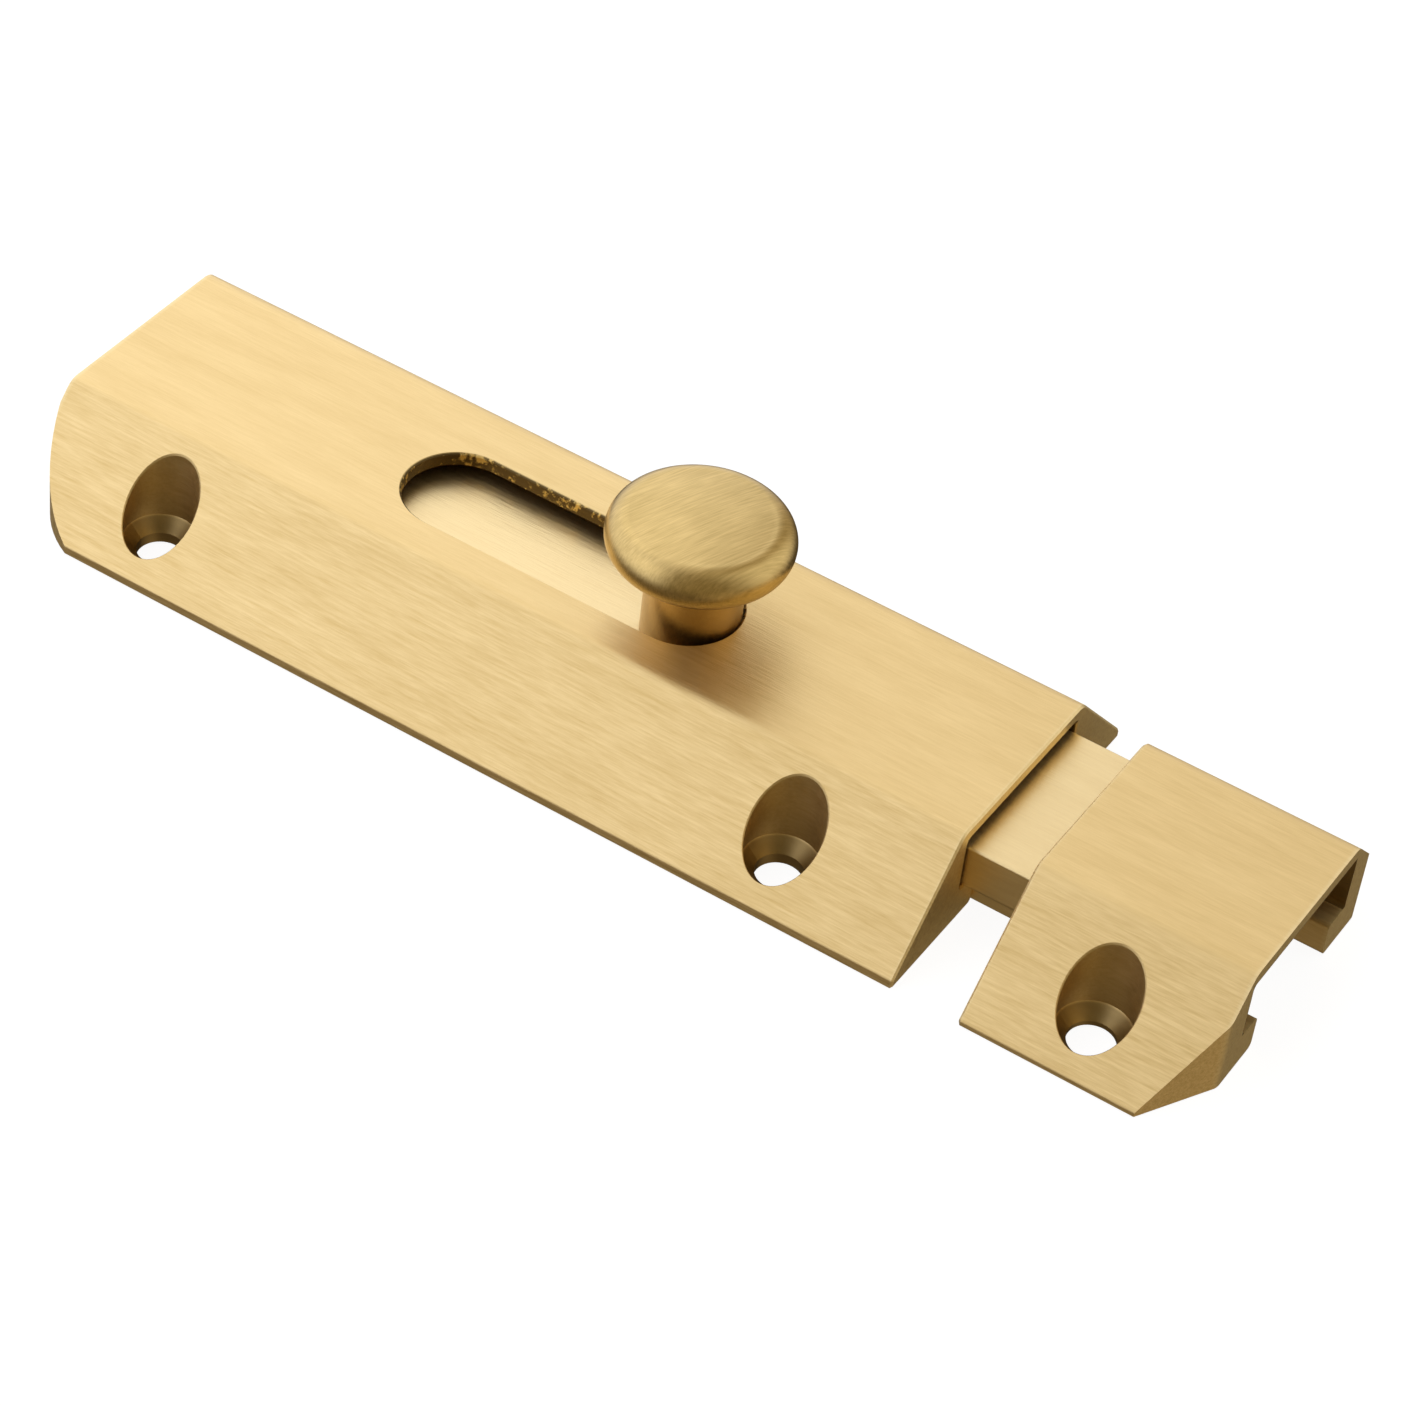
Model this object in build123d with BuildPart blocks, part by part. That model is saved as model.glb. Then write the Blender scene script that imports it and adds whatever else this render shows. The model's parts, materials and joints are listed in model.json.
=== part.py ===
from build123d import *
import os

# Surface barrel bolt in solid brass: a flat T-section bar slides in a channelled casing and
# shoots into a matching keeper. A mushroom knob in a slot moves the bar, and its stem stops
# against the slot's ends. The bar is drawn thrown, which is the rest position.
#
# Origin: centre of the casing's four-screw pattern, on the back plane that meets the door.
# +X is the throw, towards the keeper. +Z points away from the door. Millimetres.

# ---------------------------------------------------------------- driving dimensions
# Casing and keeper: roofed channels with sloping screw flanks.
casing_length = 100.0
keeper_length = 22.0
keeper_gap = 6.8  # between casing and keeper when both are fixed
casing_shoulder = 0.85  # top of the casing, from channel wall to crease
keeper_shoulder = -0.05  # the keeper's creases stand just inside its channel walls
flank_width = 10.05  # each of the casing's flanks, measured square to the throw
roof_thickness = 1.4
casing_land = 0.9  # upright band at the foot of each flank
keeper_land = 0.5
crease_radius = 2.0
foot_radius = 0.35
edge_break = 0.2  # cut edges that a hand meets
rim_break = 0.12  # where the screw bores open on the flanks

# Plan shape of the far ends: flat in the middle, then back along each flank in an arc on the
# casing and in a straight cut on the keeper.
casing_end_flat = 25.0
casing_end_inset = 7.2
casing_end_radius = 13.1
keeper_end_flat = 26.6
keeper_end_inset = 4.2
keeper_end_corner = 1.5  # rounds the corner between the flat end and each cut

# Bolt bar: a wide upper part that runs on the lips, and a rib that fills the throat.
bar_width = 19.2
bar_depth = 5.1  # of the wide part
rib_width = 13.6
bar_bottom_radius = 0.8
bar_top_radius = 0.3
rib_radius = 0.3
nose_chamfer = 0.8
nose_engagement = 13.7  # reach into the keeper when thrown
bolt_travel = 27.0
tail_gap = 1.5  # left between the drawn bar and the casing's far end

# Lips and running clearances.
lip_height = 3.75
lip_radius = 0.5
throat_radius = 0.6  # at the back, where the throat opens
channel_radius = 0.6
bar_side_clearance = 0.35
rib_side_clearance = 0.15
lip_clearance = 0.05  # the bar's bearing faces over the lips
rib_back_clearance = 0.05  # the rib stays clear of the door
spring_gap = 1.1  # between the bar's top and the roof

# Screw holes: countersunk for 4 mm screws, sunk square to the door through the flanks.
far_hole_inset = 14.6  # from the casing's far end
near_hole_inset = 15.2  # from the casing's mouth
keeper_hole_inset = 10.6  # from the keeper's mouth
hole_offset = 4.8  # from the casing's crease out to the hole's axis
screw_hole_radius = 2.3
screw_seat_radius = 3.6
casing_seat_height = 2.4  # of each seat's upper edge above the back plane
keeper_seat_height = 1.8
screw_seat_angle = 90

# Slot and knob. The slot stands a little towards the front flank.
slot_line = -0.8
slot_inset = 30.6  # from the casing's mouth to the slot's end
slot_side_clearance = 0.9
stem_stop_gap = 0.05
stem_diameter = 9.4
head_diameter = 17.8
head_rim_radius = 2.3
head_dome = 0.35
head_standoff = 6.4  # casing top to the head's underside
stem_fillet = 0.5

# Knob screw: M4 countersunk, driven from the back of the bar.
screw_diameter = 4.0
screw_length = 14.0
screw_head_diameter = 7.5
screw_head_angle = 90
screw_head_sink = 0.3
driver_slot_width = 1.0
driver_slot_depth = 1.1
tap_clearance = 0.02  # radial, in the knob's tapped hole
screw_clearance = 0.25  # radial, through the bar
tap_margin = 1.2  # tapped hole beyond the screw's tip

# Friction spring: a bronze leaf under the roof that presses on the bar.
leaf_width = 8.0
leaf_thickness = 0.3
leaf_foot = 6.0
leaf_span = 7.5
leaf_tail = 4.5
leaf_tail_lift = 0.45
leaf_inset = 7.0  # from the casing's mouth to the leaf's tail
leaf_clearance = 0.05
rivet_diameter = 2.0
rivet_head_diameter = 3.4
rivet_head_height = 0.45
rivet_head_radius = 0.27  # rounds the head's lower edge
rivet_skin = 0.5  # roof left above the rivet's blind hole

# ---------------------------------------------------------------- derived sizes and places
height = lip_height + lip_clearance + bar_depth + spring_gap + roof_thickness
ceiling = height - roof_thickness
bar_bottom = lip_height + lip_clearance
bar_top = bar_bottom + bar_depth

channel_half = bar_width / 2 + bar_side_clearance
throat_half = rib_width / 2 + rib_side_clearance
casing_top_half = channel_half + casing_shoulder
keeper_top_half = channel_half + keeper_shoulder
base_half = casing_top_half + flank_width
hole_y = casing_top_half + hole_offset

hole_spacing_x = casing_length - far_hole_inset - near_hole_inset
casing_far_end = -(far_hole_inset + hole_spacing_x / 2)
casing_mouth = casing_far_end + casing_length
keeper_mouth = casing_mouth + keeper_gap
keeper_far_end = keeper_mouth + keeper_length
keeper_hole_x = keeper_mouth + keeper_hole_inset

bar_tail = casing_far_end + bolt_travel + tail_gap
bar_nose = keeper_mouth + nose_engagement
slot_width = stem_diameter + 2 * slot_side_clearance
slot_length = bolt_travel + stem_diameter + 2 * stem_stop_gap
slot_middle = casing_mouth - slot_inset - slot_length / 2
knob_x = casing_mouth - slot_inset - stem_stop_gap - stem_diameter / 2
knob_axis = Axis((knob_x, slot_line, 0), (0, 0, 1))
knob_plane = Plane(origin=(knob_x, slot_line, 0), x_dir=(1, 0, 0), z_dir=(0, -1, 0))
head_bottom = height + head_standoff
screw_face = rib_back_clearance + screw_head_sink
screw_tip = screw_face + screw_length

leaf_end = casing_mouth - leaf_inset
leaf_crest = leaf_end - leaf_tail
leaf_foot_end = leaf_crest - leaf_span
leaf_start = leaf_foot_end - leaf_foot
rivet_x = leaf_start + leaf_foot / 2
leaf_high = ceiling - leaf_thickness / 2
leaf_low = bar_top + leaf_clearance + leaf_thickness / 2


# ---------------------------------------------------------------- shared profiles
def corners_at(sketch, y, z):
    """Vertices at this distance either side of a sketch's middle and at this height in it."""
    return [v for v in sketch.vertices() if abs(abs(v.X) - y) < 0.01 and abs(v.Y - z) < 0.01]


def channel_section(top_half, land):
    """Roofed channel with sloping flanks and lips below, drawn as Y across and Z up."""
    with BuildSketch() as section:
        with BuildLine():
            Polyline(
                (0, height),
                (top_half, height),
                (base_half, land),
                (base_half, 0),
                (throat_half, 0),
                (throat_half, lip_height),
                (channel_half, lip_height),
                (channel_half, ceiling),
                (0, ceiling),
            )
            mirror(about=Plane.YZ)
        make_face()
        fillet(corners_at(section, top_half, height), crease_radius)
        fillet(corners_at(section, base_half, land), foot_radius)
        fillet(corners_at(section, throat_half, 0), throat_radius)
        fillet(corners_at(section, throat_half, lip_height), lip_radius)
        fillet(corners_at(section, channel_half, lip_height), channel_radius)
        fillet(corners_at(section, channel_half, ceiling), channel_radius)
    return section.sketch


def screw_holes(places, seat_height):
    """Countersunk screw holes, with a straight bore above each seat, open on the flank."""
    with Locations(*[(x, y, seat_height) for x, y in places]):
        CounterSinkHole(screw_hole_radius, screw_seat_radius, height, screw_seat_angle)


def hole_rims(body):
    """Edges where the bores above the screw seats open on the sloping flanks."""
    bores = body.faces().filter_by(GeomType.CYLINDER).filter_by(
        lambda face: abs(face.radius - screw_seat_radius) < 0.01
    )
    return [bore.edges().sort_by(Axis.Z)[-1] for bore in bores]


# ---------------------------------------------------------------- casing and keeper
with BuildPart() as casing:
    with BuildSketch(Plane.YZ.offset(casing_far_end)):
        add(channel_section(casing_top_half, casing_land))
    extrude(amount=casing_length)
    with BuildSketch(Plane.XY):
        arc_foot = (casing_far_end + casing_end_inset, base_half)
        arc_end = (casing_far_end, casing_end_flat / 2)
        with BuildLine():
            Polyline((casing_mouth, 0), (casing_mouth, base_half), arc_foot)
            RadiusArc(arc_foot, arc_end, -casing_end_radius)
            Line(arc_end, (casing_far_end, 0))
            mirror(about=Plane.XZ)
        make_face()
    extrude(amount=height, mode=Mode.INTERSECT)
    casing_hole_half = hole_spacing_x / 2
    casing_holes = [(x, y) for x in (-casing_hole_half, casing_hole_half) for y in (-hole_y, hole_y)]
    screw_holes(casing_holes, casing_seat_height)
    chamfer(hole_rims(casing), rim_break)
    with BuildSketch(Plane.XY.offset(height)):
        with Locations((slot_middle, slot_line)):
            SlotOverall(slot_length, slot_width)
    extrude(amount=-(roof_thickness + spring_gap / 2), mode=Mode.SUBTRACT)
    slot_rim = casing.faces().sort_by(Axis.Z)[-1].inner_wires()[0].edges()
    chamfer(slot_rim, edge_break)
    chamfer(casing.faces().sort_by(Axis.X)[-1].outer_wire().edges(), edge_break)
    with Locations(Plane(origin=(rivet_x, 0, ceiling), z_dir=(0, 0, -1))):
        Hole(rivet_diameter / 2, roof_thickness - rivet_skin)
casing.part.label = "casing"

with BuildPart() as keeper:
    with BuildSketch(Plane.YZ.offset(keeper_mouth)):
        add(channel_section(keeper_top_half, keeper_land))
    extrude(amount=keeper_length)
    with BuildSketch(Plane.XY) as keeper_plan:
        with BuildLine():
            Polyline(
                (keeper_mouth, 0),
                (keeper_mouth, base_half),
                (keeper_far_end - keeper_end_inset, base_half),
                (keeper_far_end, keeper_end_flat / 2),
                (keeper_far_end, 0),
            )
            mirror(about=Plane.XZ)
        make_face()
        for side in (-keeper_end_flat / 2, keeper_end_flat / 2):
            fillet(corners_at(keeper_plan, keeper_far_end, side), keeper_end_corner)
    extrude(amount=height, mode=Mode.INTERSECT)
    screw_holes([(keeper_hole_x, -hole_y), (keeper_hole_x, hole_y)], keeper_seat_height)
    chamfer(hole_rims(keeper), rim_break)
    chamfer(keeper.faces().sort_by(Axis.X)[0].outer_wire().edges(), edge_break)
keeper.part.label = "keeper"

# ---------------------------------------------------------------- bolt bar, knob and screw
with BuildPart() as bolt_bar:
    with BuildSketch(Plane.YZ.offset(bar_tail)) as bar_section:
        with BuildLine():
            Polyline(
                (0, bar_top),
                (bar_width / 2, bar_top),
                (bar_width / 2, bar_bottom),
                (rib_width / 2, bar_bottom),
                (rib_width / 2, rib_back_clearance),
                (0, rib_back_clearance),
            )
            mirror(about=Plane.YZ)
        make_face()
        fillet(corners_at(bar_section, bar_width / 2, bar_top), bar_top_radius)
        fillet(corners_at(bar_section, bar_width / 2, bar_bottom), bar_bottom_radius)
        fillet(corners_at(bar_section, rib_width / 2, rib_back_clearance), rib_radius)
    extrude(amount=bar_nose - bar_tail)
    with BuildSketch(Plane.XY) as bar_plan:
        with Locations(((bar_tail + bar_nose) / 2, 0)):
            Rectangle(bar_nose - bar_tail, bar_width)
        chamfer(bar_plan.vertices().group_by(Axis.X)[-1], nose_chamfer)
        chamfer(bar_plan.vertices().group_by(Axis.X)[0], edge_break)
    extrude(amount=bar_top, mode=Mode.INTERSECT)
    with Locations(Plane(origin=(knob_x, slot_line, rib_back_clearance), z_dir=(0, 0, -1))):
        CounterSinkHole(
            screw_diameter / 2 + screw_clearance,
            screw_head_diameter / 2 + screw_head_sink,
            bar_top,
            screw_head_angle,
        )
bolt_bar.part.label = "bolt_bar"

with BuildPart() as knob:
    with BuildSketch(knob_plane) as knob_profile:
        rim_inner = head_diameter / 2 - head_rim_radius
        head_top = head_bottom + 2 * head_rim_radius
        dome_radius = (rim_inner**2 + head_dome**2) / (2 * head_dome)
        with BuildLine():
            Polyline(
                (0, head_top + head_dome),
                (0, bar_top),
                (stem_diameter / 2, bar_top),
                (stem_diameter / 2, head_bottom),
                (rim_inner, head_bottom),
            )
            ThreePointArc(
                (rim_inner, head_bottom),
                (rim_inner + head_rim_radius, head_bottom + head_rim_radius),
                (rim_inner, head_top),
            )
            RadiusArc((rim_inner, head_top), (0, head_top + head_dome), -dome_radius)
        make_face()
        fillet(corners_at(knob_profile, stem_diameter / 2, head_bottom), stem_fillet)
    revolve(axis=knob_axis)
    with Locations(Plane(origin=(knob_x, slot_line, bar_top), z_dir=(0, 0, -1))):
        Hole(screw_diameter / 2 + tap_clearance, screw_tip + tap_margin - bar_top)
knob.part.label = "knob"

with BuildPart() as knob_screw:
    with BuildSketch(knob_plane):
        head_depth = (screw_head_diameter - screw_diameter) / 2
        with BuildLine():
            Polyline(
                (0, screw_face),
                (screw_head_diameter / 2, screw_face),
                (screw_diameter / 2, screw_face + head_depth),
                (screw_diameter / 2, screw_tip - edge_break),
                (screw_diameter / 2 - edge_break, screw_tip),
                (0, screw_tip),
                close=True,
            )
        make_face()
    revolve(axis=knob_axis)
    with BuildSketch(Plane.XY.offset(screw_face)):
        with Locations((knob_x, slot_line)):
            Rectangle(driver_slot_width, screw_head_diameter)
    extrude(amount=driver_slot_depth, mode=Mode.SUBTRACT)
knob_screw.part.label = "knob_screw"

# ---------------------------------------------------------------- friction spring and rivet
with BuildPart() as friction_spring:
    with BuildSketch(Plane.XZ.offset(-leaf_width / 2)):
        with BuildLine() as leaf_line:
            middle = (leaf_foot_end + leaf_span / 2, (leaf_high + leaf_low) / 2)
            Line((leaf_start, leaf_high), (leaf_foot_end, leaf_high))
            falling = TangentArc((leaf_foot_end, leaf_high), middle, tangent=(1, 0))
            TangentArc(middle, (leaf_crest, leaf_low), tangent=falling % 1)
            TangentArc((leaf_crest, leaf_low), (leaf_end, leaf_low + leaf_tail_lift), tangent=(1, 0))
        trace(line_width=leaf_thickness)
    extrude(amount=leaf_width)
    with Locations(Plane(origin=(rivet_x, 0, ceiling), z_dir=(0, 0, 1))):
        Hole(rivet_diameter / 2)
friction_spring.part.label = "friction_spring"

with BuildPart() as spring_rivet:
    with BuildSketch(Plane.XY.offset(ceiling - leaf_thickness - rivet_head_height)):
        with Locations((rivet_x, 0)):
            Circle(rivet_head_diameter / 2)
    extrude(amount=rivet_head_height)
    with BuildSketch(Plane.XY.offset(ceiling - leaf_thickness)):
        with Locations((rivet_x, 0)):
            Circle(rivet_diameter / 2)
    extrude(amount=leaf_thickness + roof_thickness - rivet_skin)
    rivet_head_rim = spring_rivet.faces().sort_by(Axis.Z)[0].outer_wire().edges()
    fillet(rivet_head_rim, rivet_head_radius)
spring_rivet.part.label = "spring_rivet"

# ---------------------------------------------------------------- one STEP file per piece
os.makedirs("parts", exist_ok=True)
export_step(casing.part, "parts/casing.step")
export_step(keeper.part, "parts/keeper.step")
export_step(bolt_bar.part, "parts/bolt_bar.step")
export_step(knob.part, "parts/knob.step")
export_step(knob_screw.part, "parts/knob_screw.step")
export_step(friction_spring.part, "parts/friction_spring.step")
export_step(spring_rivet.part, "parts/spring_rivet.step")
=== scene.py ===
"""Surface barrel bolt in satin brass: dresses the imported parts, adds the knob, and lights them."""

import json
import logging
import math
from collections.abc import Mapping, Sequence
from dataclasses import dataclass, field
from enum import Enum
from typing import Union

import bpy
import numpy as np
from mathutils import Matrix, Vector


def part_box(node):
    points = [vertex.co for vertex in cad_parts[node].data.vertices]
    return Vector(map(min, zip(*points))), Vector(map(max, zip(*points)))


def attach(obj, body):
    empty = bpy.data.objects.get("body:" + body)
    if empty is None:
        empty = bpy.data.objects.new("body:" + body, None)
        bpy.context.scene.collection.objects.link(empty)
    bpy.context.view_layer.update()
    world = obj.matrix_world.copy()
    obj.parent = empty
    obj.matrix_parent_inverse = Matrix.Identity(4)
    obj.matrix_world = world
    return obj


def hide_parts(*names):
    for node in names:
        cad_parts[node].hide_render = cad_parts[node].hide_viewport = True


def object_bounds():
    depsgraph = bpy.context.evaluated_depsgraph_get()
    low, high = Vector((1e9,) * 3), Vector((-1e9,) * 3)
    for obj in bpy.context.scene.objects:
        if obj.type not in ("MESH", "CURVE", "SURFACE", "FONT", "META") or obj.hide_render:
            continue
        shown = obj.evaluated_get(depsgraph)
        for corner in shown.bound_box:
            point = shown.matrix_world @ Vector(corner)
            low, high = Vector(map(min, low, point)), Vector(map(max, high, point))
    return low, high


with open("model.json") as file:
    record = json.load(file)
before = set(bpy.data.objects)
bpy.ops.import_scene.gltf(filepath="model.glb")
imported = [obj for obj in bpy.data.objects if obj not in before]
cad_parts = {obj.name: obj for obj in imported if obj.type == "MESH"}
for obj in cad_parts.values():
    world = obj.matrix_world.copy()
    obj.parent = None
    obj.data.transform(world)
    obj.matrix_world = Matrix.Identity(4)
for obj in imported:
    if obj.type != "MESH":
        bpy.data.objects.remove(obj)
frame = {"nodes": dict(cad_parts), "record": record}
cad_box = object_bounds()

MM = 0.001
log = logging.getLogger("barrel_bolt")

Triple = tuple[float, float, float]
Colour = Triple
Value = Union[float, int, Sequence[float], "Wire", bpy.types.NodeSocket]


# ------------------------------------------------------------------ shader writing
class Wire:
    """One value in a shader, with arithmetic written as Python operators."""

    def __init__(self, shader: "Shader", socket: bpy.types.NodeSocket) -> None:
        """Wraps a socket.

        Args:
            shader: the shader whose tree the socket is in.
            socket: the output that holds the value.
        """
        self.shader = shader
        self.socket = socket

    def __add__(self, other: Value) -> "Wire":
        """Self plus other."""
        return self.shader.math("ADD", self, other)

    def __radd__(self, other: Value) -> "Wire":
        """Other plus self."""
        return self.shader.math("ADD", other, self)

    def __sub__(self, other: Value) -> "Wire":
        """Self minus other."""
        return self.shader.math("SUBTRACT", self, other)

    def __rsub__(self, other: Value) -> "Wire":
        """Other minus self."""
        return self.shader.math("SUBTRACT", other, self)

    def __mul__(self, other: Value) -> "Wire":
        """Self times other."""
        return self.shader.math("MULTIPLY", self, other)

    def __rmul__(self, other: Value) -> "Wire":
        """Other times self."""
        return self.shader.math("MULTIPLY", other, self)

    def __pow__(self, other: Value) -> "Wire":
        """Self to the power of other."""
        return self.shader.math("POWER", self, other)

    def __rpow__(self, other: Value) -> "Wire":
        """Other to the power of self."""
        return self.shader.math("POWER", other, self)

    def __abs__(self) -> "Wire":
        """Size of self without its sign."""
        return self.shader.math("ABSOLUTE", self)

    def low(self, other: Value) -> "Wire":
        """The smaller of self and other."""
        return self.shader.math("MINIMUM", self, other)

    def high(self, other: Value) -> "Wire":
        """The larger of self and other."""
        return self.shader.math("MAXIMUM", self, other)

    def rise(self, start: float, end: float) -> "Wire":
        """A smooth step from 0 to 1 as self goes from start to end.

        Args:
            start: where the step is still 0.
            end: where the step has reached 1; below start gives a falling step.

        Returns:
            The step, eased at both ends.
        """
        if end < start:
            return 1 - self.rise(end, start)
        sockets = {"Value": self, "From Min": start, "From Max": end}
        step = self.shader.node("ShaderNodeMapRange", {"interpolation_type": "SMOOTHSTEP"}, sockets)
        return Wire(self.shader, step.outputs["Result"])


class Shader:
    """A node tree with one way to add each kind of node."""

    def __init__(self, tree: bpy.types.NodeTree) -> None:
        """Empties the tree and starts on it.

        Args:
            tree: the node tree of a material, world or light.
        """
        self.tree = tree
        self.tree.nodes.clear()

    def node(
        self,
        kind: str,
        settings: Mapping[str, object] | None = None,
        sockets: Mapping[str | int, Value] | None = None,
    ) -> bpy.types.Node:
        """Adds a node.

        Args:
            kind: the node's type name.
            settings: its own settings, set first.
            sockets: the values or links of its inputs, by name or number.

        Returns:
            The node.
        """
        made = self.tree.nodes.new(kind)
        for key, value in (settings or {}).items():
            setattr(made, key, value)
        for key, value in (sockets or {}).items():
            self.plug(made.inputs[key], value)
        return made

    def plug(self, socket: bpy.types.NodeSocket, value: Value) -> None:
        """Gives an input a link, a number or a colour.

        Args:
            socket: the input.
            value: a wire or output to link, or a plain value.
        """
        if isinstance(value, Wire):
            self.tree.links.new(value.socket, socket)
        elif isinstance(value, bpy.types.NodeSocket):
            self.tree.links.new(value, socket)
        elif isinstance(value, (int, float)):
            socket.default_value = value
        elif len(value) < len(socket.default_value):
            socket.default_value = (*value, 1.0)
        else:
            socket.default_value = value

    def math(self, operation: str, first: Value, second: Value | None = None) -> Wire:
        """One Math node on numbers.

        Args:
            operation: the Math node's operation.
            first: its first value.
            second: its second value, where it has one.

        Returns:
            The result.
        """
        sockets = {0: first} if second is None else {0: first, 1: second}
        made = self.node("ShaderNodeMath", {"operation": operation}, sockets)
        return Wire(self, made.outputs["Value"])

    def mix(self, factor: Value, first: Value, second: Value) -> Wire:
        """Mixes two colours.

        Args:
            factor: 0 for the first colour, 1 for the second.
            first: the first colour.
            second: the second colour.

        Returns:
            The mixed colour.
        """
        settings = {"data_type": "RGBA", "clamp_factor": True}
        # In a colour Mix, inputs 6 and 7 are the colours and output 2 is the result.
        made = self.node("ShaderNodeMix", settings, {0: factor, 6: first, 7: second})
        return Wire(self, made.outputs[2])

    def place(self, scale: Triple, turn: float = 0.0) -> Wire:
        """Object coordinates, turned about Z and then stretched.

        Args:
            scale: pattern units per metre along each axis of the turned coordinates.
            turn: turn of the pattern about Z, in radians.

        Returns:
            The coordinates as a vector.
        """
        where: Value = self.node("ShaderNodeTexCoord").outputs["Object"]
        if turn:
            sockets = {"Vector": where, "Rotation": (0, 0, -turn)}
            where = self.node("ShaderNodeMapping", {"vector_type": "POINT"}, sockets).outputs["Vector"]
        sockets = {"Vector": where, "Scale": scale}
        made = self.node("ShaderNodeMapping", {"vector_type": "POINT"}, sockets)
        return Wire(self, made.outputs["Vector"])

    def axes(self) -> tuple[Wire, Wire, Wire]:
        """X, Y and Z of the object coordinates, in metres."""
        where = self.node("ShaderNodeTexCoord").outputs["Object"]
        parts = self.node("ShaderNodeSeparateXYZ", None, {0: where})
        return tuple(Wire(self, parts.outputs[axis]) for axis in ("X", "Y", "Z"))

    def noise(self, where: Wire, detail: float, roughness: float) -> Wire:
        """Smooth noise from 0 to 1.

        Args:
            where: the coordinates, already scaled.
            detail: how many finer layers are added.
            roughness: how strong the finer layers are.

        Returns:
            The noise as a number.
        """
        sockets = {"Vector": where, "Scale": 1.0, "Detail": detail, "Roughness": roughness}
        made = self.node("ShaderNodeTexNoise", {"noise_dimensions": "3D"}, sockets)
        return Wire(self, made.outputs["Fac"])


# ------------------------------------------------------------------ finishes
def blank(name: str) -> tuple[bpy.types.Material, Shader]:
    """A new material with nothing in it yet.

    Args:
        name: the material's name.

    Returns:
        The material, and the shader that writes it.
    """
    material = bpy.data.materials.new(name)
    material.use_nodes = True
    return material, Shader(material.node_tree)


def bumped(shader: Shader, height: Wire, depth: float) -> bpy.types.NodeSocket:
    """A normal that follows fine relief.

    Args:
        shader: the shader being written.
        height: the relief, from 0 to about 1.
        depth: how deep a relief of 1 is, in metres.

    Returns:
        The Bump node's normal.
    """
    sockets = {"Strength": 1.0, "Distance": depth, "Height": height}
    return shader.node("ShaderNodeBump", None, sockets).outputs["Normal"]


def surface(shader: Shader, colour: Wire, roughness: Wire, normal: Value | None = None) -> None:
    """Ends a shader with a bare metal surface.

    Args:
        shader: the shader being written.
        colour: the metal's colour.
        roughness: its roughness.
        normal: its normal, where relief bends it.
    """
    sockets: dict[str, Value] = {"Base Color": colour, "Metallic": 1.0, "Roughness": roughness}
    if normal is not None:
        sockets["Normal"] = normal
    made = shader.node("ShaderNodeBsdfPrincipled", None, sockets)
    shader.node("ShaderNodeOutputMaterial", None, {"Surface": made.outputs["BSDF"]})


@dataclass(frozen=True)
class Grain:
    """One layer of noise drawn out along X.

    Width is across the grain in metres, and length is in widths. Detail is how many finer layers
    the noise has, and fineness how strong they are. Tone, gloss and relief are the layer's
    shares of the colour, of the roughness and of the relief.
    """

    width: float
    length: float
    detail: float
    fineness: float
    tone: float
    gloss: float = 0.0
    relief: float = 0.0

    def write(self, shader: Shader) -> Wire:
        """Writes the layer.

        Args:
            shader: the shader being written.

        Returns:
            The layer, as noise from 0 to 1.
        """
        across = 1 / self.width
        where = shader.place((across / self.length, across, across))
        return shader.noise(where, self.detail, self.fineness)


@dataclass(frozen=True)
class PaintedShade:
    """Painted shade: a darker colour laid on a recess or a place under something, where shade falls.

    It covers the least share of the place, and up to the spread more where a cloud is thick.
    """

    colour: Colour
    least: float
    spread: float = 0.0

    def over(self, shader: Shader, colour: Wire, where: Wire, cloud: Wire) -> Wire:
        """Lays the painted shade over a colour.

        Args:
            shader: the shader being written.
            colour: the colour under it.
            where: 1 on the shaded place and 0 off it.
            cloud: noise from 0 to 1.

        Returns:
            The colour with its painted shade.
        """
        return shader.mix(where * (cloud * self.spread + self.least), colour, self.colour)


@dataclass(frozen=True)
class ShadedSlotWall:
    """The wall of the slot: painted shade in a dark colour, broken by gold patches of mill marks.

    Scales are pattern units per metre. The flecks and the larger patches are added in their
    shares, and the mill marks show where the sum is above the edge.
    """

    # Painted shade colour of the slot's walls; gold is the bare brass of the mill marks.
    shade_brown: Colour = (0.13, 0.085, 0.03)
    gold: Colour = (0.80, 0.55, 0.17)
    fleck_scale: Triple = (1500, 1500, 1300)
    patch_scale: Triple = (170, 170, 170)
    fleck_share: float = 0.6
    patch_share: float = 0.4
    edge: tuple[float, float] = (0.50, 0.60)

    def write(self, shader: Shader) -> tuple[Wire, Wire]:
        """Writes the wall.

        Args:
            shader: the shader being written.

        Returns:
            The wall's colour, and 1 where the mill marks are.
        """
        fleck = shader.noise(shader.place(self.fleck_scale), detail=3.0, roughness=0.65)
        patch = shader.noise(shader.place(self.patch_scale), detail=1.0, roughness=0.5)
        mill_marks = (fleck * self.fleck_share + patch * self.patch_share).rise(*self.edge)
        return shader.mix(mill_marks, self.shade_brown, self.gold), mill_marks


@dataclass(frozen=True)
class Pin:
    """A vertical axis on the object, such as a screw hole's, with a radius, in metres."""

    x: float
    y: float
    radius: float


@dataclass(frozen=True)
class Slot:
    """The knob's slot seen from above: a straight middle line with round ends, in metres."""

    start: float
    end: float
    y: float
    radius: float


@dataclass(frozen=True)
class Channel:
    """The channel that the bar runs in, in metres; its walls and ceiling get painted shade."""

    half_width: float
    floor: float
    ceiling: float


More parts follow.
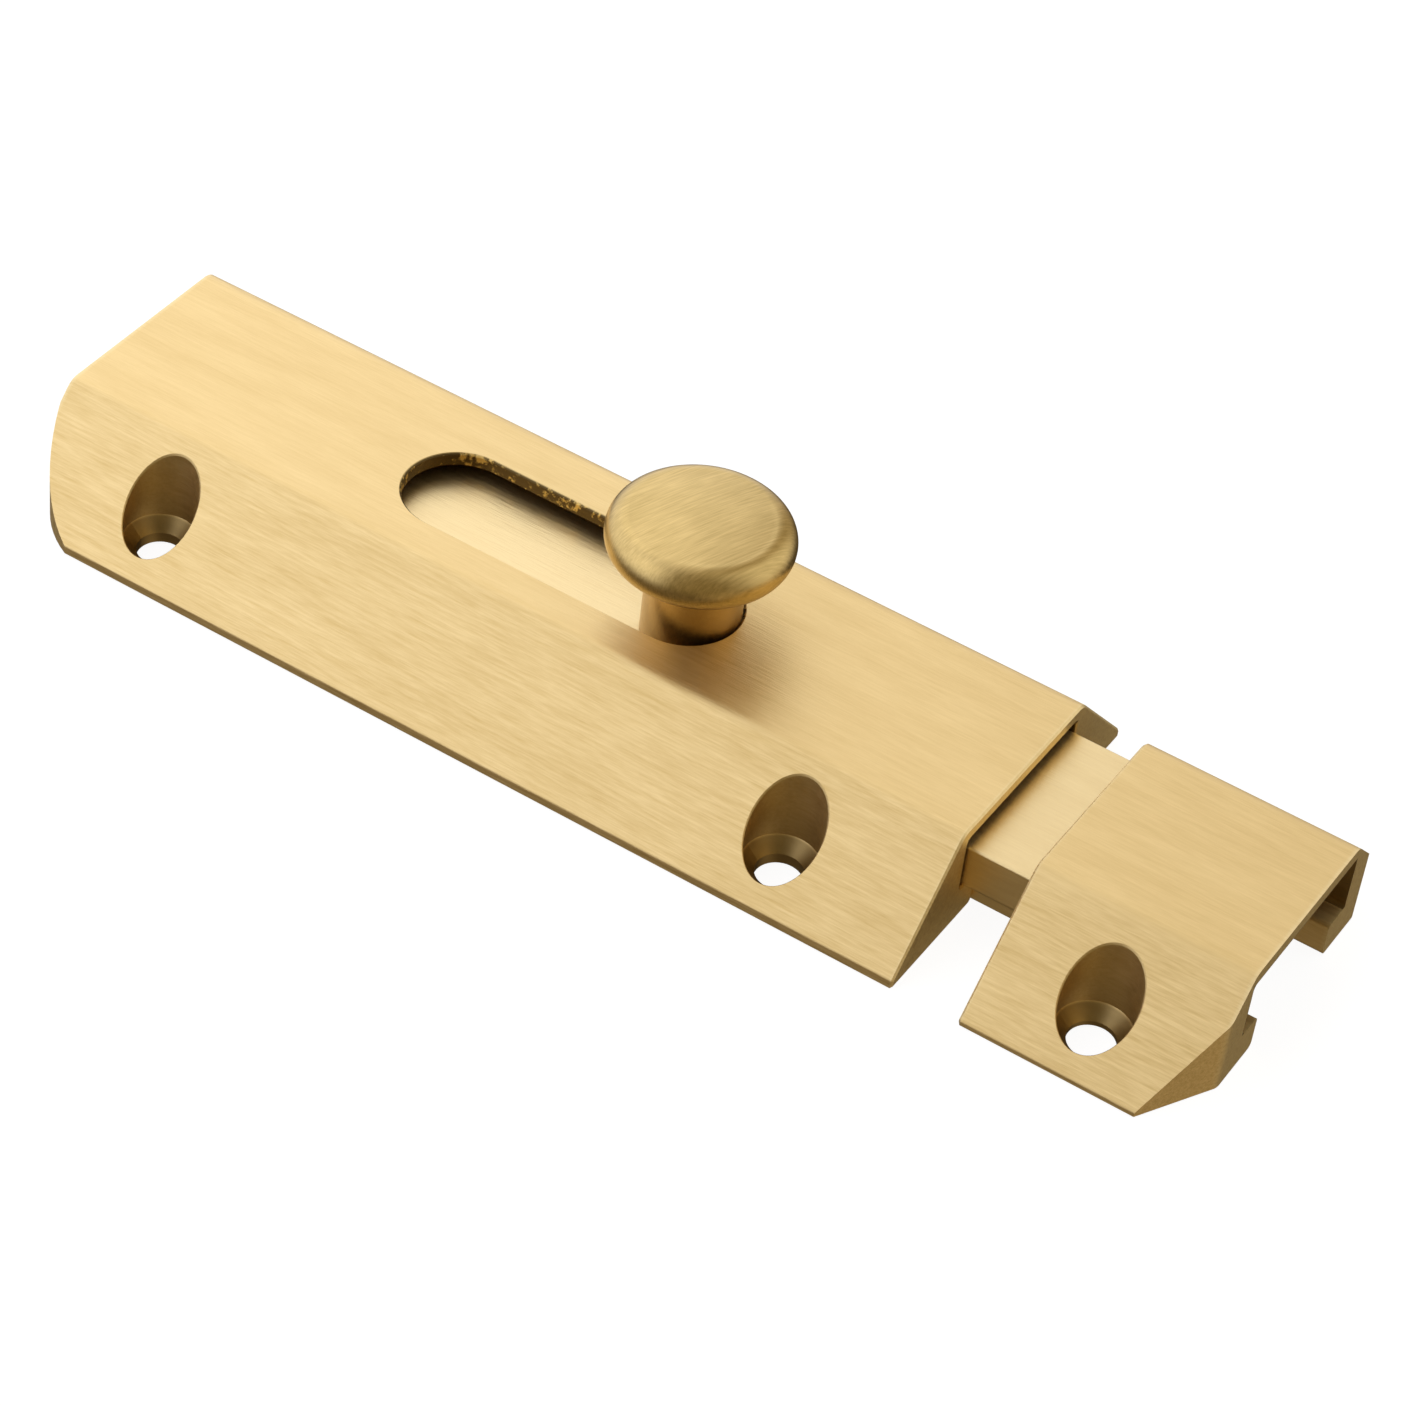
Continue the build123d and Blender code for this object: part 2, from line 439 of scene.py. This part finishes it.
@dataclass(frozen=True)
class BrushedBrass:
    """Satin brass with straight grain along the throw, and painted shade in its bores, channel and
    slot.

    Lengths are in metres. The grain is three layers of noise stretched along X: hair lines,
    streaks and broad bands. It is stronger on the flanks than on top, and the cut ends carry a
    paler painted highlight, broken up by the streaks. A pair of lengths called an edge is where a
    mask is still 0 and where it has reached 1.
    """

    name: str
    ends: tuple[float, float]
    pale: Colour = (0.98, 0.755, 0.365)
    deep: Colour = (0.73, 0.52, 0.205)
    # Painted highlight on the cut ends: its paler colour and the width it fades over.
    end_highlight: Colour = (0.99, 0.82, 0.46)
    end_highlight_width: float = 0.5 * MM
    mean_tone: float = 0.55
    roughness: float = 0.47
    hair: Grain = Grain(
        width=0.16 * MM, length=16, detail=3.0, fineness=0.6, tone=1.2, gloss=0.1, relief=0.7
    )
    streak: Grain = Grain(
        width=0.35 * MM, length=14, detail=3.0, fineness=0.55, tone=1.3, gloss=0.12, relief=0.5
    )
    band: Grain = Grain(width=2.2 * MM, length=6, detail=2.0, fineness=0.5, tone=0.5)
    relief_depth: float = 0.032 * MM
    flank_edge: tuple[float, float] = (9.8 * MM, 11.2 * MM)
    top_grain: float = 0.5
    flank_grain: float = 0.6
    bores: tuple[Pin, ...] = ()
    bore_edge: tuple[float, float] = (0.15 * MM, -0.1 * MM)
    # Painted shade inside the screw bores.
    bore_shade: PaintedShade = PaintedShade((0.56, 0.40, 0.165), least=0.75)
    bore_gloss: float = 0.06
    seat_top: float = 2.4 * MM
    seat_edge: tuple[float, float] = (0.1 * MM, -0.2 * MM)
    # Darker painted shade deep in the bores, below the counterbore's seat.
    seat_shade: PaintedShade = PaintedShade((0.19, 0.125, 0.045), least=0.45, spread=0.5)
    slot: Slot | None = None
    slot_edge: tuple[float, float] = (0.22 * MM, 0.08 * MM)
    # Painted shade on the slot's walls, with gold mill-mark patches.
    slot_wall: ShadedSlotWall = ShadedSlotWall()
    channel: Channel | None = None
    # Painted shade on the channel's walls and ceiling.
    channel_shade: PaintedShade = PaintedShade((0.24, 0.155, 0.055), least=0.7, spread=0.4)
    burr: float = 0.04 * MM

    def make(self) -> bpy.types.Material:
        """Writes the material.

        Returns:
            The material.
        """
        material, shader = blank(self.name)
        x, y, z = shader.axes()
        hair, streak, band = (layer.write(shader) for layer in (self.hair, self.streak, self.band))
        bore = self._bore_mask(x, y)

        grain = (streak - 0.5) * self.streak.tone + (hair - 0.5) * self.hair.tone
        grain = grain * (abs(y).rise(*self.flank_edge) * self.flank_grain + self.top_grain)
        tone = grain + (band - 0.5) * self.band.tone + self.mean_tone
        colour = shader.mix(tone.high(0).low(1), self.deep, self.pale)
        # Painted highlight: the cut ends turn paler, broken by the streaks.
        colour = shader.mix(self._end_mask(x) * streak, colour, self.end_highlight)
        # Painted shade inside the screw bores.
        colour = self.bore_shade.over(shader, colour, bore, band)
        # Darker painted shade deep in the bores, below the counterbore's seat.
        seat = bore * (z - self.seat_top).rise(*self.seat_edge)
        colour = self.seat_shade.over(shader, colour, seat, band)
        roughness = self.roughness + (streak - 0.5) * self.streak.gloss
        roughness = roughness + (hair - 0.5) * self.hair.gloss - bore * self.bore_gloss
        relief = (hair * self.hair.relief + streak * self.streak.relief) * (1 - bore)
        if self.channel is not None:
            inside = self._channel_mask(abs(y), z)
            # Painted shade on the channel's walls and ceiling.
            colour = self.channel_shade.over(shader, colour, inside, band)
        if self.slot is not None:
            wall = self._slot_mask(x, y)
            # Painted shade on the slot's walls, broken by gold mill-mark patches that also carry the
            # relief.
            shaded_wall, mill_marks = self.slot_wall.write(shader)
            colour = shader.mix(wall, colour, shaded_wall)
            relief = relief + wall * mill_marks
        surface(shader, colour, roughness, bumped(shader, relief, self.relief_depth))
        return material

    def _end_mask(self, x: Wire) -> Wire:
        """1 at the piece's two cut ends, where the painted highlight lies, fading to 0 over its width.
        """
        low, high = self.ends
        return x.rise(low + self.end_highlight_width, low) + x.rise(high - self.end_highlight_width, high)

    def _bore_mask(self, x: Wire, y: Wire) -> Wire:
        """1 inside the screw bores and 0 on the faces.

        Args:
            x: X of the surface.
            y: Y of the surface.

        Returns:
            The mask, from the distance to the nearest pin in the XY plane.
        """
        nearest: Wire | None = None
        for pin in self.bores:
            away = ((x - pin.x) ** 2 + (y - pin.y) ** 2) ** 0.5 - pin.radius
            nearest = away if nearest is None else nearest.low(away)
        if nearest is None:
            return x * 0
        return nearest.rise(*self.bore_edge)

    def _channel_mask(self, y_size: Wire, z: Wire) -> Wire:
        """1 on the channel's walls and ceiling and 0 outside it.

        Args:
            y_size: distance of the surface from the channel's middle plane.
            z: Z of the surface.

        Returns:
            The mask, with soft edges as wide as a cut's burr.
        """
        side = y_size.rise(self.channel.half_width + 2 * self.burr, self.channel.half_width + self.burr)
        below = z.rise(self.channel.ceiling + 2 * self.burr, self.channel.ceiling + self.burr)
        return side * below * z.rise(self.channel.floor, self.channel.floor + self.burr)

    def _slot_mask(self, x: Wire, y: Wire) -> Wire:
        """1 on the slot's walls and 0 on the faces around it.

        Args:
            x: X of the surface.
            y: Y of the surface.

        Returns:
            The mask, from the distance to the slot's middle line.
        """
        along = x - x.high(self.slot.start).low(self.slot.end)
        away = (along**2 + (y - self.slot.y) ** 2) ** 0.5 - self.slot.radius
        return away.rise(*self.slot_edge)


@dataclass(frozen=True)
class TurnedBrass:
    """The knob's darker brass: straight hair scratches over the head, and painted shade on the stem.

    Lengths are in metres, and the scratches' length and depth are in widths. The cloud's scale
    is in pattern units per metre, and the turn of the scratches is in radians from X.
    """

    name: str
    stem_top: float
    pale: Colour = (0.73, 0.525, 0.205)
    deep: Colour = (0.49, 0.345, 0.12)
    # Painted shade on the stem under the head.
    stem_shade: PaintedShade = PaintedShade((0.52, 0.32, 0.115), least=0.7)
    stem_edge: tuple[float, float] = (0.0, -0.4 * MM)
    mean_tone: float = 0.5
    scratch_tone: float = 2.0
    scratch_gloss: float = 0.15
    scratch_width: float = 0.16 * MM
    scratch_length: float = 22
    scratch_depth: float = 3
    scratch_turn: float = 1.2
    cloud_tone: float = 0.8
    cloud_scale: float = 240
    roughness: float = 0.33
    relief_depth: float = 0.008 * MM

    def make(self) -> bpy.types.Material:
        """Writes the material.

        Returns:
            The material.
        """
        material, shader = blank(self.name)
        across = 1 / self.scratch_width
        scale = (across / self.scratch_length, across, across / self.scratch_depth)
        scratch = shader.noise(shader.place(scale, self.scratch_turn), detail=3.0, roughness=0.6)
        cloud = shader.noise(shader.place((self.cloud_scale,) * 3), detail=2.0, roughness=0.5)
        tone = (scratch - 0.5) * self.scratch_tone + (cloud - 0.5) * self.cloud_tone + self.mean_tone
        colour = shader.mix(tone.high(0).low(1), self.deep, self.pale)
        stem = (shader.axes()[2] - self.stem_top).rise(*self.stem_edge)
        # Painted shade on the stem below the head's underside.
        colour = self.stem_shade.over(shader, colour, stem, cloud)
        roughness = self.roughness + (scratch - 0.5) * self.scratch_gloss
        surface(shader, colour, roughness, bumped(shader, scratch, self.relief_depth))
        return material


@dataclass(frozen=True)
class SmallPartMetal:
    """Plain metal of a small hidden part, with faint mottling of its colour and gloss.

    The scale is in pattern units per metre, and dark is the darkest mottling's share of the
    colour.
    """

    name: str
    colour: Colour
    dark: float = 0.72
    scale: float = 900
    gloss: float = 0.2
    roughness: float = 0.34

    def make(self) -> bpy.types.Material:
        """Writes the material.

        Returns:
            The material.
        """
        material, shader = blank(self.name)
        mottle = shader.noise(shader.place((self.scale,) * 3), detail=3.0, roughness=0.6)
        colour = shader.mix(mottle, tuple(self.dark * part for part in self.colour), self.colour)
        surface(shader, colour, self.roughness + (mottle - 0.5) * self.gloss)
        return material


# ------------------------------------------------------------------ surfaces
def arc(centre: tuple[float, float], radius: float, start: float, end: float, steps: int) -> np.ndarray:
    """Points on a circular arc: centre plus radius times (cos, sin) of evenly spaced angles.

    Args:
        centre: centre of the arc, as distance from the axis and height.
        radius: radius of the arc.
        start: first angle, in degrees.
        end: last angle, in degrees.
        steps: number of spans.

    Returns:
        The points, one row each.
    """
    angle = np.radians(np.linspace(start, end, steps + 1))
    return np.stack([centre[0] + radius * np.cos(angle), centre[1] + radius * np.sin(angle)], 1)


def revolved(name: str, profile: np.ndarray, x: float, y: float, steps: int) -> bpy.types.Object:
    """A closed surface of revolution about a vertical axis.

    A point at distance r and height z in the profile goes round to (x + r cos t, y + r sin t, z)
    for evenly spaced angles t. The profile's two ends lie on the axis and become single points.

    Args:
        name: the piece's name.
        profile: distance from the axis and height, from the lower pole to the upper one.
        x: the axis's X.
        y: the axis's Y.
        steps: number of spans round the axis.

    Returns:
        The object, at the origin with its place in its mesh.
    """
    turn = np.linspace(0, 2 * np.pi, steps, endpoint=False)
    inner = profile[1:-1]
    rings = np.stack(
        [
            x + inner[:, :1] * np.cos(turn),
            y + inner[:, :1] * np.sin(turn),
            np.repeat(inner[:, 1:], steps, 1),
        ],
        2,
    ).reshape(-1, 3)
    poles = np.array([[x, y, profile[0, 1]], [x, y, profile[-1, 1]]])
    low_pole = len(rings)
    here = np.arange(steps)
    there = (here + 1) % steps
    row = (np.arange(len(inner) - 1) * steps)[:, None]
    quads = np.stack([row + here, row + there, row + there + steps, row + here + steps], 2)
    last = (len(inner) - 1) * steps
    foot = np.stack([there, here, np.full(steps, low_pole)], 1)
    crown = np.stack([last + here, last + there, np.full(steps, low_pole + 1)], 1)
    faces = [*quads.reshape(-1, 4).tolist(), *foot.tolist(), *crown.tolist()]
    mesh = bpy.data.meshes.new(name)
    mesh.from_pydata(np.vstack([rings, poles]), [], faces)
    mesh.polygons.foreach_set("use_smooth", np.ones(len(mesh.polygons), bool))
    mesh.update()
    piece = bpy.data.objects.new(name, mesh)
    bpy.context.scene.collection.objects.link(piece)
    return piece


# ------------------------------------------------------------------ sub-assemblies
class Joined(Enum):
    """The CAD bodies that pieces ride on."""

    CASING = "casing_body"
    BOLT = "bolt_body"
    KEEPER = "keeper_body"


def dress(node: str, material: bpy.types.Material) -> None:
    """Gives a CAD node's slots a material.

    Args:
        node: the CAD node's name.
        material: the material for all its slots.
    """
    for slot in frame["nodes"][node].material_slots:
        slot.material = material
    log.info("%s wears %s", node, material.name)


def ends_of(node: str) -> tuple[float, float]:
    """Lowest and highest X of a CAD node, in metres."""
    low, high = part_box(node)
    return low.x, high.x


def record_mount(name: str) -> dict:
    """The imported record's mount of that name."""
    return next(mount for mount in frame["record"]["mounts"] if mount["name"] == name)


def screw_pins(mount_name: str, radius: float) -> tuple[Pin, ...]:
    """The axes of a mount's screw holes.

    Args:
        mount_name: the bolt pattern's name in the record.
        radius: radius to give each pin.

    Returns:
        One pin per hole, at half the pattern's spacings either side of its middle.
    """
    mount = record_mount(mount_name)
    x, y, _ = mount["pos_m"]
    half_x = mount["dims"].get("spacing_x_mm", 0) * MM / 2
    half_y = mount["dims"]["spacing_y_mm"] * MM / 2
    columns = (-half_x, half_x) if half_x else (0.0,)
    return tuple(Pin(x + dx, y + dy, radius) for dx in columns for dy in (-half_y, half_y))


@dataclass
class Housings:
    """The casing and the keeper, which share a section and a finish."""

    bore_radius: float = 3.6 * MM
    keeper_seat_top: float = 1.8 * MM
    slot_radius: float = 5.6 * MM
    slot_run: float = 25.3 * MM
    stem_reach: float = 4.75 * MM
    channel: Channel = Channel(half_width=9.95 * MM, floor=3.8 * MM, ceiling=10.0 * MM)

    def build(self) -> None:
        """Dresses the casing and the keeper."""
        bores = screw_pins("casing_screws", self.bore_radius)
        casing = BrushedBrass(
            "casing_brass",
            ends_of("casing"),
            bores=bores,
            slot=self._slot(),
            channel=self.channel,
        )
        dress("casing", casing.make())
        bores = screw_pins("keeper_screws", self.bore_radius)
        keeper = BrushedBrass(
            "keeper_brass",
            ends_of("keeper"),
            bores=bores,
            seat_top=self.keeper_seat_top,
            channel=self.channel,
        )
        dress("keeper", keeper.make())

    def _slot(self) -> Slot:
        """The slot that ends just past the thrown knob's stem."""
        low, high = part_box("knob")
        end = (low.x + high.x) / 2 + self.stem_reach - self.slot_radius
        return Slot(end - self.slot_run, end, (low.y + high.y) / 2, self.slot_radius)


@dataclass
class FrictionSpring:
    """The leaf under the roof and its rivet."""

    bronze: SmallPartMetal = SmallPartMetal("spring_bronze_strip", (0.62, 0.40, 0.24))
    brass: SmallPartMetal = SmallPartMetal("rivet_brass", (0.74, 0.58, 0.32))

    def build(self) -> None:
        """Dresses the leaf and the rivet."""
        dress("friction_spring", self.bronze.make())
        dress("spring_rivet", self.brass.make())


@dataclass
class SlidingBolt:
    """The flat bar with its knob and the screw that holds it."""

    rim_radius: float = 2.3 * MM
    dome: float = 0.35 * MM
    stem_radius: float = 4.7 * MM
    stem_fillet: float = 0.5 * MM
    stem_break: float = 0.15 * MM
    tapped_radius: float = 2.02 * MM
    tapped_depth: float = 6.65 * MM
    turn_steps: int = 160
    fillet_steps: int = 8
    rim_steps: int = 40
    dome_steps: int = 24
    bar_pale: Colour = (0.99, 0.79, 0.41)
    bar_deep: Colour = (0.80, 0.595, 0.275)
    bar_roughness: float = 0.36
    screw_brass: SmallPartMetal = SmallPartMetal("screw_brass_plain", (0.74, 0.58, 0.32))

    def build(self) -> None:
        """Dresses the bar and the screw, and makes the knob."""
        bar = BrushedBrass(
            "bar_brass",
            ends_of("bolt_bar"),
            pale=self.bar_pale,
            deep=self.bar_deep,
            roughness=self.bar_roughness,
        )
        dress("bolt_bar", bar.make())
        dress("knob_screw", self.screw_brass.make())
        low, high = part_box("knob")
        x, y = (low.x + high.x) / 2, (low.y + high.y) / 2
        knob = revolved("turned_knob", self._knob_profile(low, high), x, y, self.turn_steps)
        knob.data.materials.append(TurnedBrass("knob_brass", self._under_head(high)).make())
        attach(knob, Joined.BOLT.value)
        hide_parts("knob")
        log.info("%s has %d faces", knob.name, len(knob.data.polygons))

    def _under_head(self, high: Vector) -> float:
        """Height of the head's underside below the knob's highest corner."""
        return high.z - self.dome - 2 * self.rim_radius

    def _knob_profile(self, low: Vector, high: Vector) -> np.ndarray:
        """Half section of the knob, from the tapped hole's end round to the crown.

        The head is a shallow dome on a full round rim: the dome is an arc through the crown and
        the rim's inner top, the rim a half circle, and the stem joins by a small fillet.

        Args:
            low: lowest corner of the CAD knob.
            high: highest corner of the CAD knob.

        Returns:
            Distance from the axis and height of each point.
        """
        head_radius = (high.x - low.x) / 2
        rim_inner = head_radius - self.rim_radius
        rim_top = high.z - self.dome
        rim_middle = rim_top - self.rim_radius
        under = self._under_head(high)
        dome_radius = (rim_inner**2 + self.dome**2) / (2 * self.dome)
        half_dome = math.degrees(math.asin(rim_inner / dome_radius))
        hole_end = low.z + self.tapped_depth
        fillet_centre = (self.stem_radius + self.stem_fillet, under - self.stem_fillet)
        return np.vstack(
            [
                [(0, hole_end), (self.tapped_radius, hole_end), (self.tapped_radius, low.z)],
                [(self.stem_radius - self.stem_break, low.z)],
                [(self.stem_radius, low.z + self.stem_break)],
                arc(fillet_centre, self.stem_fillet, 180, 90, self.fillet_steps),
                arc((rim_inner, rim_middle), self.rim_radius, -90, 90, self.rim_steps),
                arc((0, high.z - dome_radius), dome_radius, 90 - half_dome, 90, self.dome_steps)[1:-1],
                [(0, high.z)],
            ]
        )


# ------------------------------------------------------------------ studio
@dataclass(frozen=True)
class SoftBox:
    """A square soft light that faces the object. Angles are in degrees, lengths in metres."""

    name: str
    azimuth: float
    elevation: float
    distance: float
    size: float
    power: float

    def build(self, middle: Vector) -> None:
        """Hangs the light.

        Args:
            middle: the point that it faces.
        """
        light = bpy.data.lights.new(self.name, "AREA")
        light.shape = "SQUARE"
        light.size = self.size
        light.energy = self.power
        lamp = bpy.data.objects.new(self.name, light)
        away = direction(self.azimuth, self.elevation)
        lamp.location = middle + away * self.distance
        lamp.rotation_euler = away.to_track_quat("Z", "Y").to_euler()
        bpy.context.scene.collection.objects.link(lamp)
        log.info("%s stands %.2f m away", self.name, self.distance)


def direction(azimuth: float, elevation: float) -> Vector:
    """A unit vector; azimuth 0 is towards -Y and turns towards +X. Angles are in degrees."""
    turn, lift = math.radians(azimuth), math.radians(elevation)
    return Vector((math.sin(turn) * math.cos(lift), -math.cos(turn) * math.cos(lift), math.sin(lift)))


@dataclass
class Studio:
    """Camera, pale floor, soft boxes and the room's own light.

    Angles are in degrees and lengths in metres, but the lens and sensor are in millimetres. A
    side is the colour that the room shows in that direction, and an edge is where one colour
    starts to give way to the next and where it has, as a part of the unit direction.
    """

    azimuth: float = 27.86
    elevation: float = 42.44
    roll: float = 7.40
    distance: float = 412.7 * MM
    aim_offset: Vector = field(default_factory=lambda: Vector((4.95, -4.76, -6.375)) * MM)
    lens: float = 114.21
    sensor: float = 36.0
    near_clip: float = 10 * MM
    bright_side: Colour = (1.18, 1.21, 1.38)
    camera_side: Colour = (0.27, 0.22, 0.13)
    back_side: Colour = (0.44, 0.37, 0.24)
    fill_side: Colour = (0.95, 0.93, 0.90)
    near_ground: Colour = (0.17, 0.13, 0.08)
    far_ground: Colour = (0.04, 0.028, 0.015)
    right_ground: Colour = (0.50, 0.40, 0.26)
    sky_edge: tuple[float, float] = (-0.36, -0.02)
    fill_edge: tuple[float, float] = (0.16, 0.46)
    front_edge: tuple[float, float] = (-0.45, 0.40)
    ground_edge: tuple[float, float] = (-0.5, 0.5)
    right_edge: tuple[float, float] = (0.50, 0.85)
    horizon: tuple[float, float] = (-0.45, 0.15)
    floor_size: float = 6.0
    floor_gap: float = 0.2 * MM
    floor_grey: float = 0.16
    floor_roughness: float = 0.9
    floor_glow: float = 0.93
    boxes: tuple[SoftBox, ...] = (
        SoftBox("key_softbox", azimuth=235, elevation=45, distance=0.70, size=0.40, power=0.13),
        SoftBox("front_softbox", azimuth=325, elevation=40, distance=0.70, size=0.45, power=0.12),
    )

    def build(self) -> None:
        """Sets up the camera, the floor and the lights."""
        low, high = cad_box
        middle = (low + high) / 2
        self._camera(middle)
        self._floor(low.z)
        self._room_light()
        for box in self.boxes:
            box.build(middle)
        bpy.context.scene.view_settings.view_transform = "Standard"

    def _camera(self, middle: Vector) -> None:
        """Makes the camera, turned about its own axis by the roll.

        Args:
            middle: middle of the object's box.
        """
        lens = bpy.data.cameras.new("camera")
        lens.lens = self.lens
        lens.sensor_width = self.sensor
        lens.sensor_fit = "HORIZONTAL"
        lens.clip_start = self.near_clip
        camera = bpy.data.objects.new("camera", lens)
        back = direction(self.azimuth, self.elevation)
        level = Vector((0, 0, 1)).cross(back).normalized()
        up = back.cross(level)
        roll = math.radians(self.roll)
        right = level * math.cos(roll) + up * math.sin(roll)
        upright = back.cross(right)
        turn = Matrix((right, upright, back)).transposed().to_4x4()
        place = middle + self.aim_offset + back * self.distance
        camera.matrix_world = Matrix.Translation(place) @ turn
        bpy.context.scene.collection.objects.link(camera)
        bpy.context.scene.camera = camera
        log.info("camera stands at %s", tuple(round(part, 4) for part in place))

    def _floor(self, bottom: float) -> None:
        """Lays the floor.

        Args:
            bottom: the object's lowest point.
        """
        half, height = self.floor_size / 2, bottom - self.floor_gap
        flat = ((-half, -half), (half, -half), (half, half), (-half, half))
        corners = [(x, y, height) for x, y in flat]
        mesh = bpy.data.meshes.new("floor")
        mesh.from_pydata(corners, [], [(0, 1, 2, 3)])
        floor = bpy.data.objects.new("floor", mesh)
        material, shader = blank("pale_floor")
        sockets = {
            "Base Color": (self.floor_grey,) * 3,
            "Roughness": self.floor_roughness,
            "Emission Color": (1.0, 1.0, 1.0),
            "Emission Strength": self.floor_glow,
        }
        paint = shader.node("ShaderNodeBsdfPrincipled", None, sockets)
        shader.node("ShaderNodeOutputMaterial", None, {"Surface": paint.outputs["BSDF"]})
        mesh.materials.append(material)
        floor.visible_glossy = False
        bpy.context.scene.collection.objects.link(floor)
        log.info("floor lies at %.4f m", height)

    def _room_light(self) -> None:
        """Lights the room.

        The sky is brightest towards -X, white towards +X and +Y, and dim and warm towards the
        camera. The ground is darker, and paler towards +X.
        """
        world = bpy.data.worlds.new("room")
        world.use_nodes = True
        bpy.context.scene.world = world
        shader = Shader(world.node_tree)
        where = shader.node("ShaderNodeTexCoord").outputs["Generated"]
        parts = shader.node("ShaderNodeSeparateXYZ", None, {0: where})
        x, y, z = (Wire(shader, parts.outputs[axis]) for axis in ("X", "Y", "Z"))
        sky = shader.mix(y.rise(*self.front_edge), self.camera_side, self.back_side)
        sky = shader.mix(x.rise(*self.sky_edge), self.bright_side, sky)
        sky = shader.mix(x.rise(*self.fill_edge) * y.rise(*self.front_edge), sky, self.fill_side)
        ground = shader.mix(y.rise(*self.ground_edge), self.near_ground, self.far_ground)
        ground = shader.mix(x.rise(*self.right_edge), ground, self.right_ground)
        colour = shader.mix(z.rise(*self.horizon), ground, sky)
        light = shader.node("ShaderNodeBackground", None, {"Color": colour, "Strength": 1.0})
        shader.node("ShaderNodeOutputWorld", None, {"Surface": light.outputs["Background"]})
        log.info("room lit")


def main() -> None:
    """Builds the sub-assemblies in order, then the studio."""
    logging.basicConfig(level=logging.INFO, format="%(name)s: %(message)s")
    for part in (Housings(), FrictionSpring(), SlidingBolt(), Studio()):
        part.build()
        log.info("%s done", type(part).__name__)


if __name__ == "__main__":
    main()
